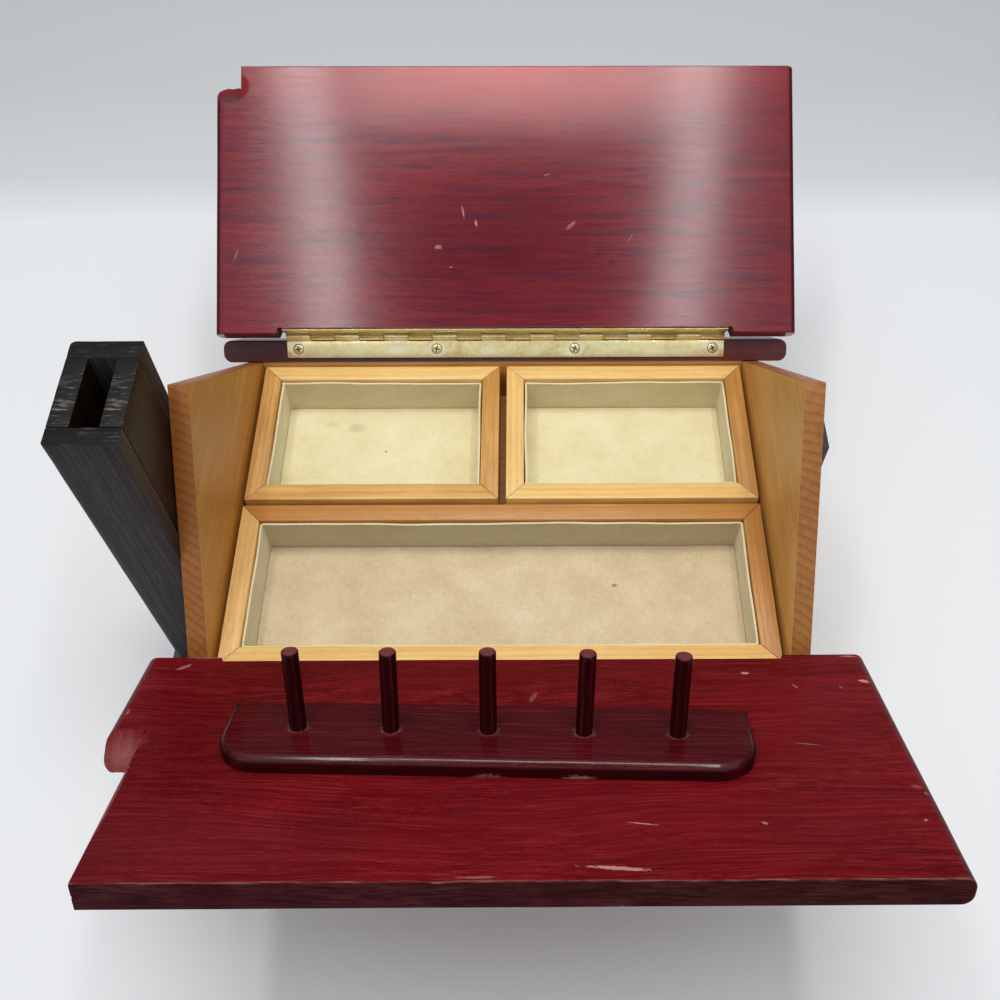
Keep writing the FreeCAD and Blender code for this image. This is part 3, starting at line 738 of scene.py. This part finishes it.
def makePanel(panel, material):
    side = panel["side"]
    outer, inner = side * roof["rise"], side * (roof["rise"] + roof["thick"])
    lowZ, highZ = sorted((outer, inner))
    far = roof["start"] + panel["long"]
    board = addBlock(panel["name"], (panel["left"], roof["start"], lowZ), (panel["right"], far, highZ))
    roundBoard(board)

    spare = notch["spare"]
    middle, half = hingeRecess["middle"], hingeRecess["half"]
    recess = addBlock("recess", (middle - half, roof["start"] - spare, lowZ - spare),
                      (middle + half, hingeRecess["floor"], highZ + spare))
    moveVerts(recess, lambda co: co.y < 0, grow=(hingeRecess["flare"], 1, 1), middle=(middle, 0, 0))
    carve(board, recess)

    past = notch["past"]
    wedge = addBlock("wedge", (panel["left"] - spare, panel["notchAt"] - past, lowZ - past),
                     (panel["notchTo"], far + spare, highZ + past))
    slant = roof["thick"] + 2 * past
    moveVerts(wedge, lambda co: co.y < panel["notchAt"] and abs(co.z) < abs(outer), move=(0, slant, 0))
    bevelEdges(wedge, lambda a, b: min(a.x, b.x) > panel["notchTo"] - 0.1 and max(a.y, b.y) < far
               and abs(a.z - b.z) > 1, notch["corner"], 3)
    editOn(wedge, "FACE", lambda centre, normal: normal.y < -0.3 and abs(normal.x) < 0.1)
    bpy.ops.mesh.subdivide(number_cuts=notch["cuts"])
    editOff()
    draw = random.Random(panel["node"])
    for point in wedge.data.vertices:
        # only points inside the slanted face move, so its rim stays true
        if panel["left"] - 2 < point.co.x < panel["notchTo"] - 2 and lowZ - 0.9 < point.co.z < highZ + 0.9:
            hollow = math.sin(point.co.x * 1.3) * 0.5 + math.sin(point.co.z * 0.55 + point.co.x * 0.2)
            jolt = draw.uniform(-notch["ragged"], notch["ragged"])
            point.co.y -= notch["rough"] * (notch["wavy"] * hollow + jolt)
    useModifier(wedge, "TRIANGULATE")
    carve(board, wedge)
    for number, (x, y, z, size) in enumerate(panel["chips"]):
        carve(board, makeChip((x, y, z), size, number))

    sliceUp(board, 0, panel["left"] + 5, panel["right"] - 5, roof["gap"])
    sliceUp(board, 1, roof["start"] + 4, far - 2, roof["gap"])
    weather(board, *roof["wear"])
    markGrain(board)
    settle(board, slopeFrame(side, True), material, panel["node"])
    useModifier(board, "WEIGHTED_NORMAL", keep_sharp=True, weight=80)


frontMarks = [(101.2, 13, 4.6, 1.8, 5, 0.85), (120.1, 22.5, 3.4, 0.7, 60, 0.6),
              (149.6, 19.2, 5.5, 2.6, 20, 0.8), (138.9, 23.4, 2.6, 0.6, 45, 0.5),
              (147.9, 0.8, 9, 1.4, 4, 0.55), (38.6, 123.3, 25, 2.0, 5, 0.75), (48.9, 102.7, 12, 0.7, 8, 0.7),
              (91.1, 102.8, 2.6, 1.3, 25, 0.6), (147.1, 101.8, 1.6, 1.4, 0, 0.7),
              (-136.7, 6.6, 8, 2.4, -35, 0.4), (-150, 37.9, 1.5, 5, 0, 0.3), (11.7, 29.3, 2.5, 8, 20, 0.2),
              (149.5, 84.3, 5, 2.5, 20, 0.15), (152, 88, 2, 2, 0, 0.25), (-127.7, -0.8, 20, 1.8, 0, 0.5),
              (-7.4, 127, 16, 1.2, 0, 0.3), (-138.6, 89, 1.6, 44, 0, 0.22), (116, 60, 12, 0.6, 8, 0.4)]
backMarks = [(-23.4, 63.4, 8, 1.1, 100, 0.6), (-16.6, 57.5, 4.5, 1.8, 100, 0.6),
             (-36.7, 44.7, 4.8, 2.6, 0, 0.45), (33.6, 56.1, 8.5, 2.4, 40, 0.34),
             (21.0, 83.2, 5, 0.9, 20, 0.4), (65.0, 48.9, 7, 0.7, 60, 0.3), (-143.5, 40.8, 8, 0.8, 70, 0.4),
             (-30, 34, 2, 1.2, 0, 0.35)]
frontLook = {"pith": (-20, 60), "ring": 4.0, "sway": 12, "rough": 0.32, "shine": 0.10, "end": 129.15,
             "face": -13.8, "lines": 0.4, "grit": 0.24}
# front panel patches: the dark bands along the hinge are painted shade, the lighter, greyer patches toward
# the free edge are painted sheen, and the pale patch by the notch is wear
frontTonesAndPaintedLight = [(-125, 62, 110, 120, tone(66, 0, 8), 0.5), (-60, 10, 200, 30, tone(74, 2, 9), 0.45),
               (-110, 112, 150, 50, tone(100, 26, 36), 0.5), (60, 100, 260, 60, tone(112, 22, 30), 0.4),
               (120, 40, 90, 90, tone(110, 16, 24), 0.4), (-147, 56, 24, 16, tone(156, 88, 86), 0.7),
               (0, 8, 330, 40, tone(74, 0, 8), 0.4)]
# lid patches: the lighter, redder band across the top is a painted highlight where the sheen is brightest,
# the dark patch low in the middle is painted shade, the small dark ovals are marks, and the last is the
# notch's bevel
backTonesAndPaintedLight = [(0, 143, 350, 84, tone(190, 66, 62), 0.74), (0, 40, 190, 80, tone(66, 4, 12), 0.5),
              (-100.2, 101.5, 9, 5, tone(72, 22, 40), 0.7), (48.0, 41.2, 5, 2.0, tone(56, 10, 20), 0.8),
              (55.4, 36.5, 6, 1.8, tone(60, 10, 20), 0.8), (-148, 125, 20, 13, tone(96, 62, 62), 0.9)]
backLook = {"pith": (200, -60), "ring": 3.2, "sway": 6, "rough": 0.14, "shine": 0.385, "bump": 0.000004,
            "end": 142.05, "face": 13.8, "cast": tone(126, 48, 60), "lines": 0.26, "grit": 0.34,
            "hairlines": (-95, 50, 110, 130, 50), "smudge": tone(70, 34, 56), "dull": (-148, 131, 22, 17)}
makePanel(frontPanel, makeRedStain("frontPanelStain", frontLook, frontMarks, frontTonesAndPaintedLight))
makePanel(backPanel, makeRedStain("backPanelStain", backLook, backMarks, backTonesAndPaintedLight))
print("roof panels made")

# eave strips

strip = {"left": -155.0, "right": 152.1, "edge": -1.85, "wide": 26.0, "thick": 12.0, "gap": 12,
         "wear": (0.2, 22)}
stripShades = [(-80, -8, 340, 90, tone(50, 34, 38), 0.85), (130, -8, 130, 90, tone(104, 34, 40), 0.8)]
stripLook = {"pith": (-60, -70), "dark": 0.3, "lines": 0.2, "front": (0, 0, -2)}
stripStain = makeRedStain("stripStain", stripLook, shades=stripShades)


def makeStrip(name, node, side):
    lowZ, highZ = sorted((side * roof["rise"], side * (roof["rise"] + strip["thick"])))
    board = addBlock(name, (strip["left"], strip["edge"] - strip["wide"], lowZ),
                     (strip["right"], strip["edge"], highZ))
    roundBoard(board)
    sliceUp(board, 0, strip["left"] + 5, strip["right"] - 5, strip["gap"])
    weather(board, *strip["wear"])
    markGrain(board)
    settle(board, slopeFrame(side, False), stripStain, node)


makeStrip("frontEaveStrip", "eave_strip_front", -1)
makeStrip("backEaveStrip", "eave_strip_back", 1)
print("eave strips made")

# piano hinges

hinge = {"long": 237.3, "shift": -1.3, "knuckles": 18, "gap": 0.3, "outer": 1.85, "inner": 0.95,
         "reach": 11.4, "neck": 2.5, "overlap": 0.3, "roll": 300, "rollSteps": 20, "step": 0.2, "ease": 0.15,
         "tabEase": 0.12, "sliceGap": 9}
screw = {"at": (-113.8, -38.8, 36.2, 111.2), "gap": 75, "drop": 6.7, "sides": 28, "slot": (1.6, 0.36, 0.65),
         "hole": 2.3, "tip": 0.02, "through": 1.5,
         "rings": [(0.15, -12.0), (1.05, -10.5), (1.1, -1.6), (2.45, -0.12), (2.6, 0.02), (2.45, 0.14),
                   (1.6, 0.30), (0.5, 0.36)]}
leafBrass = makeBrass("leafBrass", "leaf")
screwBrass = makeBrass("screwBrass", "screw")


def flip(piece):
    piece.data.transform(Matrix.Scale(-1, 4, (0, 0, 1)))
    editOn(piece, "FACE", lambda centre, normal: True)
    bpy.ops.mesh.normals_make_consistent(inside=False)
    editOff()


def makeLeaf(name, node, side, moving):
    # the sheet, then a row of tabs whose ends are rolled round the pin
    pitch = hinge["long"] / hinge["knuckles"]
    start = hinge["shift"] - hinge["long"] / 2
    way, lift = (1, hinge["step"]) if moving else (-1, 0)
    lowY, highY = sorted((way * (hinge["inner"] + lift), way * (hinge["outer"] + lift)))
    sheet = addBlock("sheet", (start, lowY, hinge["neck"]), (start + hinge["long"], highY, hinge["reach"]))
    sliceUp(sheet, 0, start, start + hinge["long"], hinge["sliceGap"])
    ease(sheet, hinge["ease"])
    tip, wide, deep = screw["tip"], screw["hole"], screw["through"]
    for x in screw["at"]:
        hole = turnedPiece("hole", [(tip, -deep), (wide, -deep), (wide, deep), (tip, deep)], screw["sides"])
        middle = Matrix.Translation((x, (lowY + highY) / 2, screw["drop"]))
        hole.data.transform(middle @ turned(90, "X"))
        carve(sheet, hole)
    lowY, highY = sorted((way * hinge["inner"], way * hinge["outer"]))
    first = start + hinge["gap"] / 2 + (pitch if moving else 0)
    tab = addBlock("tab", (first, lowY, 0),
                   (first + pitch - hinge["gap"], highY, hinge["neck"] + hinge["overlap"]))
    moveVerts(tab, lambda co: co.z > 1, move=(0, way * lift, 0))
    editOn(tab, "FACE", lambda centre, normal: normal.z < -0.9)
    bpy.ops.mesh.spin(steps=hinge["rollSteps"], angle=math.radians(-way * hinge["roll"]), center=(0, 0, 0),
                      axis=(1, 0, 0))
    editOff()
    editOn(tab, "VERT", lambda co: True)
    bpy.ops.mesh.remove_doubles(threshold=0.001)
    bpy.ops.mesh.normals_make_consistent(inside=False)
    editOff()
    ease(tab, hinge["tabEase"], 2, 60)
    useModifier(tab, "ARRAY", count=hinge["knuckles"] // 2, use_relative_offset=False,
                use_constant_offset=True, constant_offset_displace=(2 * pitch, 0, 0))
    leaf = joinAll(name, [sheet, tab])
    if side < 0:
        flip(leaf)
    markGrain(leaf)
    settle(leaf, slopeFrame(side, moving), leafBrass, node)


def makeScrews(name, node, side, moving):
    head = turnedPiece(name, screw["rings"], screw["sides"])
    long, wide, deep = screw["slot"]
    for turn in (0, 90):
        blade = addBlock("blade", (-long, -wide, -deep), (long, wide, 1))
        blade.data.transform(turned(turn, "Z"))
        carve(head, blade)
    markGrain(head)
    way, lift = (1, hinge["step"]) if moving else (-1, 0)
    face = way * (hinge["inner"] + lift)
    draw = random.Random(side + 3 * moving)
    row = []
    for x in screw["at"]:
        seat = Matrix.Translation((x, face, side * screw["drop"]))
        twin = addToScene(name, head.data.copy())
        twin.data.transform(seat @ turned(90 * way, "X") @ turned(draw.uniform(0, 90), "Z"))
        row.append(twin)
    bpy.data.objects.remove(head)
    settle(joinAll(name, row), slopeFrame(side, moving), screwBrass, node)


for side, where in ((-1, "front"), (1, "back")):
    for moving, kind in ((False, "fixed"), (True, "moving")):
        start = where + "Hinge" + kind.title()
        makeLeaf(start + "Leaf", f"hinge_{where}_{kind}_leaf", side, moving)
        makeScrews(start + "Screws", f"hinge_{where}_{kind}_screws", side, moving)
    pinMaterials = nodes[f"hinge_{where}_pin"].data.materials
    pinMaterials.clear()
    pinMaterials.append(finishes["aged_brass"])
print("hinges made")

# spool rack and its pegs

rack = {"long": 202.0, "deep": 34.3, "thick": 7.0, "corner": 16.0, "backCorner": 2.5, "brow": 3.5,
        "at": (-6.1, 61.25, -13.8), "turn": 2.1, "margin": 18, "gap": 9, "wear": (0.25, 26)}
peg = {"radius": 3.25, "offset": -1.55, "places": (-71.8, -36.4, 0.6, 36.7, 72.0), "sides": 22,
       "whittled": 0.14, "tenon": (2.4, 2.45, 4.5), "tall": (34.6, 34.9, 35.2, 35.1, 35.0),
       "tilt": ((0.4, 0.6), (1.2, 0.2), (0.4, -0.9), (1.3, -1.0), (0.3, 0.2))}


def rackFrame():
    return slopeFrame(-1, True) @ Matrix.Translation(rack["at"]) @ turned(rack["turn"], "Z")


def makeRack():
    half, deep, top = rack["long"] / 2, rack["deep"] / 2, -rack["thick"]
    board = addBlock("spoolRack", (-half, -deep, top), (half, deep, 0))
    bevelEdges(board, lambda a, b: a.y > 1 and b.y > 1 and abs(a.z - b.z) > 1, rack["corner"], 12)
    bevelEdges(board, lambda a, b: a.y < -1 and b.y < -1 and abs(a.z - b.z) > 1, rack["backCorner"], 4)
    behind = 0.1 - deep + rack["backCorner"] - 0.2
    bevelEdges(board, lambda a, b: max(a.z, b.z) < top + 0.01 and max(a.y, b.y) > behind, rack["brow"], 7)
    sliceUp(board, 0, rack["margin"] - half, half - rack["margin"], rack["gap"])
    weather(board, *rack["wear"])
    markGrain(board, shift=(900, 0, 30))
    settle(board, rackFrame(), finishes["dark_red_gloss"], "spool_rack")


pegStain = makeRedStain("pegStain", {"pith": (-40, -30), "rough": 0.3, "dark": 0.82, "lines": 0.25,
                                     "bump": 0.00005, "shine": 0.35, "top": tone(116, 56, 60)})


def makePegs():
    # whittled dowels: each side of the stem is a little off the round
    draw = random.Random(5)
    radius, sides = peg["radius"], peg["sides"]
    foot, neck, depth = peg["tenon"]
    made = []
    for place, tall, (leanX, leanY) in zip(peg["places"], peg["tall"], peg["tilt"]):
        rings = [(foot, -depth), (neck, 0), (radius, 0.02), (radius, 3), (radius, tall / 2),
                 (radius, tall - 3), (radius, tall - 0.55), (radius - 0.15, tall - 0.2),
                 (radius - 0.45, tall - 0.02), (0.4, tall)]
        stem = turnedPiece("peg", rings, sides)
        facets = [draw.uniform(-peg["whittled"], 0.0) for side in range(sides)]
        for point in stem.data.vertices:
            if 0.01 < point.co.z:
                around = math.atan2(point.co.y, point.co.x) / math.tau * sides
                grow = 1 + facets[round(around) % sides] / radius
                point.co.x *= grow
                point.co.y *= grow
        markGrain(stem, "zxy", (draw.uniform(0, 400), 9, 5))
        spot = Matrix.Translation((place, peg["offset"], -rack["thick"]))
        stem.data.transform(spot @ turned(180, "X") @ turned(leanX, "Y") @ turned(leanY, "X"))
        made.append(stem)
    settle(joinAll("spoolPegs", made), rackFrame(), pegStain, "spool_pegs")


makeRack()
makePegs()
print("spool rack and pegs made")

# gables

gable = {"ridge": 189.0, "ease": 0.5, "tints": {"gable_left": 0.26, "gable_right": 0.11},
         "pith": (400, 40, -40), "gaps": {1: 18, 2: 18}, "wear": (0.12, 24),
         "finish": makeHoneyPine("gablePine", tone(138, 68, 12), 0.68)}


def makeGable(node, name):
    low, high = boxOf(node)
    board = addBlock(name, low, high)
    for way in (-1, 1):
        cutOff(board, (0, 0, gable["ridge"]), (0, way, 1))
    ease(board, gable["ease"])
    sliceBox(board, low, high, gable["gaps"])
    weather(board, *gable["wear"])
    outer = low[0] if node == "gable_left" else high[0]
    along, across, up = gable["pith"]
    markGrain(board, "yxz", (along, across - outer, up), gable["tints"][node])
    settle(board, toMetres, gable["finish"], node)


makeGable("gable_left", "leftGable")
makeGable("gable_right", "rightGable")
print("gables made")

# trays

tray = {"mitreGap": 0.04, "ease": 0.45, "cardThick": 1.0, "cardCorner": 1.8, "gaps": {0: 6, 1: 6, 2: 4},
        "feltGap": 0.15, "feltLow": 0.02, "feltTop": 1.15, "feltGaps": {0: 3, 1: 3}, "feltWear": (0.30, 5),
        "tints": {"front": (-0.10, 0.33, -0.02, 0.29), "rear_left": (0.04, -0.12, 0.13, 0.17),
                  "rear_right": (-0.16, -0.10, -0.08, 0.25)}}


def makeRails(name):
    boxes = {end: boxOf(f"tray_{name}_{end}_rail") for end in ("front", "back", "left", "right")}
    left, right = boxes["left"][0][0], boxes["right"][1][0]
    front, back = boxes["front"][0][1], boxes["back"][1][1]
    draw = random.Random(name)
    for (end, (low, high)), tint in zip(boxes.items(), tray["tints"][name]):
        node = f"tray_{name}_{end}_rail"
        rail = addBlock(nameOf(node), low, high)
        alongX = end in ("front", "back")
        for y, inY in ((front, 1), (back, -1)):
            for x, inX in ((left, 1), (right, -1)):
                if low[0] - 1 < x < high[0] + 1 and low[1] - 1 < y < high[1] + 1:
                    way = Vector((-inX, inY, 0)) if alongX else Vector((inX, -inY, 0))
                    cutOff(rail, Vector((x, y, 0)) - way.normalized() * tray["mitreGap"], way)
        ease(rail, tray["ease"])
        shift = (draw.uniform(0, 900), draw.uniform(10, 30), draw.uniform(-90, -70))
        markGrain(rail, "xyz" if alongX else "yxz", shift, tint)
        settle(rail, toMetres, finishes["honey_pine"], node)


def makeLining(name, look):
    node = f"tray_{name}_lining"
    low, high = boxOf(node)
    title = nameOf(f"tray_{name}")
    walls = addBlock(title + "CardWalls", low, high)
    editOn(walls, "FACE", lambda centre, normal: abs(normal.z) > 0.9)
    bpy.ops.mesh.delete(type="FACE")
    editOff()
    bevelEdges(walls, lambda a, b: abs(a.z - b.z) > 1, tray["cardCorner"], 3)
    sliceBox(walls, low, high, tray["gaps"], 0)
    draw = random.Random(name)
    sway = [draw.uniform(0, math.tau) for wave in range(4)]
    middle = [(low[axis] + high[axis]) / 2 for axis in range(2)]
    half = [(high[axis] - low[axis]) / 2 for axis in range(2)]
    for point in walls.data.vertices:
        # the card leans in at the top and bulges a little, and its cut edge wanders
        rise = (point.co.z - low[2]) / (high[2] - low[2])
        along = point.co.x + point.co.y
        wave = 0.5 + 0.3 * math.sin(along / 17 + sway[0]) + 0.2 * math.sin(along / 7.3 + sway[1])
        for axis in (0, 1):
            reach = (point.co[axis] - middle[axis]) / half[axis]
            if abs(reach) > 0.99:
                point.co[axis] -= math.copysign((0.25 + 0.75 * wave) * rise * look["lean"], reach)
        if rise > 0.99:
            point.co.z -= 0.25 + 0.25 * math.sin(along / 23 + sway[2]) + 0.15 * math.sin(along / 5 + sway[3])
    useModifier(walls, "SOLIDIFY", thickness=tray["cardThick"], offset=-1)
    markGrain(walls)
    settle(walls, toMetres, look["wallFinish"], node)

    edge = tray["cardThick"] + tray["feltGap"]
    floor = addBlock(title + "FeltFloor", (low[0] + edge, low[1] + edge, low[2] + tray["feltLow"]),
                     (high[0] - edge, high[1] - edge, low[2] + tray["feltTop"]))
    sliceBox(floor, low, high, tray["feltGaps"], edge)
    weather(floor, *tray["feltWear"])
    markGrain(floor, shift=(draw.uniform(0, 300), draw.uniform(0, 300), 0))
    settle(floor, toMetres, look["floorFinish"], node)


creams = ((tone(218, 204, 156), tone(236, 224, 178), tone(246, 238, 200)), tone(176, 158, 120))
linings = {"front": {"lean": 0.7, "wallFinish": makeCloth("longTrayCard", *creams, shaded=0.42),
                     "floorFinish": finishes["grey_felt"]},
           "rear_left": {"lean": 0.9, "wallFinish": makeCloth("leftTrayCard", *creams, shaded=0.15),
                         "floorFinish": finishes["cream_felt"]},
           "rear_right": {"lean": 1.0, "wallFinish": makeCloth("rightTrayCard", *creams, shaded=0.12),
                          "floorFinish": finishes["cream_felt"]}}
for trayName, look in linings.items():
    makeRails(trayName)
    makeLining(trayName, look)
print("trays made")

# chimney

chimney = {"outerRound": 2.4, "ease": 0.45, "wear": (0.30, 3.5), "gaps": {2: 10, 0: 4, 1: 4},
           "pith": (220, 60)}
# the side boards are a browner charcoal painted much darker, as painted shade from the gable beside the
# chimney
shadedChimneySides = makeDarkWood("wornShadedCharcoal", (tone(14, 6, 3), tone(27, 11, 6), tone(46, 29, 17)), 0.42,
                            endShade=tone(28, 26, 25), worn=0.75, shine=0.2)


def makeChimneyBoard(node, finish, roundEnd=None):
    # the front and back boards have their outer upright edge rounded, at their low or their high end along y
    box = boxOf(node)
    low, high = box
    board = addBlock(nameOf(node), low, high)
    if roundEnd is not None:
        x, y = low[0], box[roundEnd][1]
        bevelEdges(board, lambda a, b: abs(a.z - b.z) > 1 and abs(a.x - x) < 1 and abs(a.y - y) < 1,
                   chimney["outerRound"], 5)
    ease(board, chimney["ease"])
    sliceBox(board, low, high, chimney["gaps"])
    weather(board, *chimney["wear"])
    across, up = chimney["pith"]
    markGrain(board, "zxy", (0, across - low[0], up))
    settle(board, toMetres, finish, node)


makeChimneyBoard("chimney_front", finishes["charcoal_stain"], 0)
makeChimneyBoard("chimney_back", finishes["charcoal_stain"], 1)
makeChimneyBoard("chimney_outer_side", shadedChimneySides)
makeChimneyBoard("chimney_inner_side", shadedChimneySides)
print("chimney made")

# plain boards of the house and drawers

# the back wall's upward faces are painted almost black, as painted shadow under the eave strip
backPine = makeHoneyPine("backPine", tone(58, 26, 22), 0.92)
plank = {"segments": 3, "uncut": 40, "gap": 20, "wear": (0.10, 20)}
# for each node: which way its grain runs, and how far its edges are eased
plainBoards = {"base_board": ("xyz", 1.4), "back_wall": ("xzy", 0.4), "front_rail": ("xzy", 0.4),
               "shelf_board": ("xyz", 0.3), "drawer_divider": ("yzx", 0.3), "gable_vent": ("zyx", 1.0)}
for trayName in linings:
    plainBoards[f"tray_{trayName}_bottom"] = ("xyz", 0.3)
for hand in ("left", "right"):
    plainBoards[f"drawer_{hand}_front"] = ("xzy", 0.8)
    for part, order in (("left_side", "yzx"), ("right_side", "yzx"), ("back", "xzy"), ("bottom", "xyz")):
        plainBoards[f"drawer_{hand}_{part}"] = (order, 0.4)


def makeBoard(node, order, width):
    low, high = boxOf(node)
    board = addBlock(nameOf(node), low, high)
    ease(board, width, plank["segments"])
    gaps = {axis: plank["gap"] for axis in range(3) if high[axis] - low[axis] > plank["uncut"]}
    sliceBox(board, low, high, gaps)
    weather(board, *plank["wear"])
    draw = random.Random(node)
    shift = (draw.uniform(0, 900), draw.uniform(-60, 60), draw.uniform(40, 90))
    markGrain(board, order, shift, draw.uniform(0.0, 0.1))
    settle(board, toMetres, backPine if node == "back_wall" else finishes[slotOf[node]], node)


for node, (order, width) in plainBoards.items():
    makeBoard(node, order, width)
print("plain boards made")

# drawer knobs

knob = {"long": 13.0, "sides": 40,
        "rings": [(2.2, 3.0), (2.2, 0.0), (3.6, -0.1), (3.4, -1.2), (2.9, -2.6), (3.1, -4.2), (4.6, -5.8),
                  (6.4, -7.0), (7.3, -8.4), (7.5, -9.6), (7.2, -10.8), (6.2, -11.9), (4.2, -12.7),
                  (1.6, -13.0)]}


def makeKnob(node):
    low, high = boxOf(node)
    middle = [(a + b) / 2 for a, b in zip(low, high)]
    piece = turnedPiece(nameOf(node), knob["rings"], knob["sides"])
    foot = Matrix.Translation((middle[0], low[1] + knob["long"], middle[2]))
    piece.data.transform(foot @ turned(-90, "X"))
    settle(piece, toMetres, finishes["aged_brass"], node)


makeKnob("drawer_left_knob")
makeKnob("drawer_right_knob")
print("knobs made")
